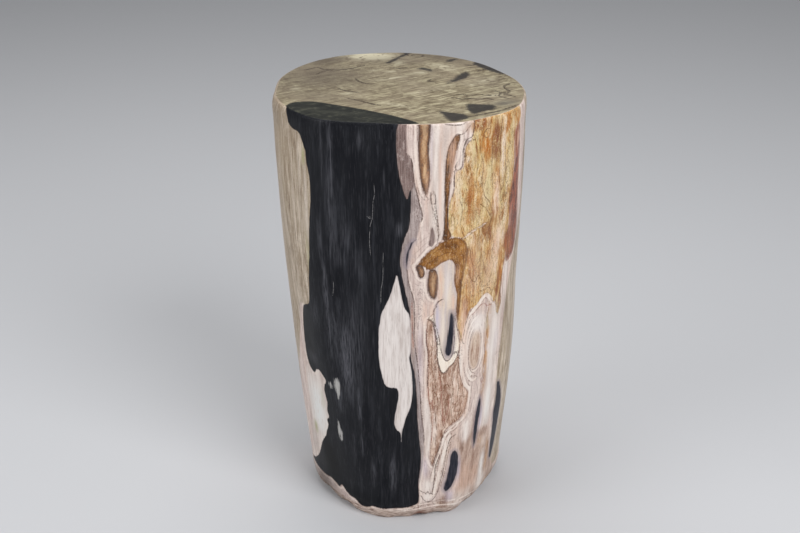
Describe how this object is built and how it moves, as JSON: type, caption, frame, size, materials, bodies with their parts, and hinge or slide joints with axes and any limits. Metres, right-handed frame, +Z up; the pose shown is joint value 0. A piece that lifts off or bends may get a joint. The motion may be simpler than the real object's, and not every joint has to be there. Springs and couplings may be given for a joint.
{
  "type": "petrified wood stool",
  "caption": "Stool or side table made of one upright length of petrified wood, with a flat polished top, a gently tapering trunk and a rough chipped foot.",
  "frame": {"origin": "on the floor, at the middle of the log's box", "axes": "+Z up along the log, from the foot to the seat; -Y towards the front, the side that the picture shows; +X to the viewer's right"},
  "size_m": [0.2564, 0.2542, 0.45],
  "materials": {
    "petrified_wood": "satin"
  },
  "bodies": {
    "root": {"petrified_log": "petrified_wood"}
  },
  "joints": []
}
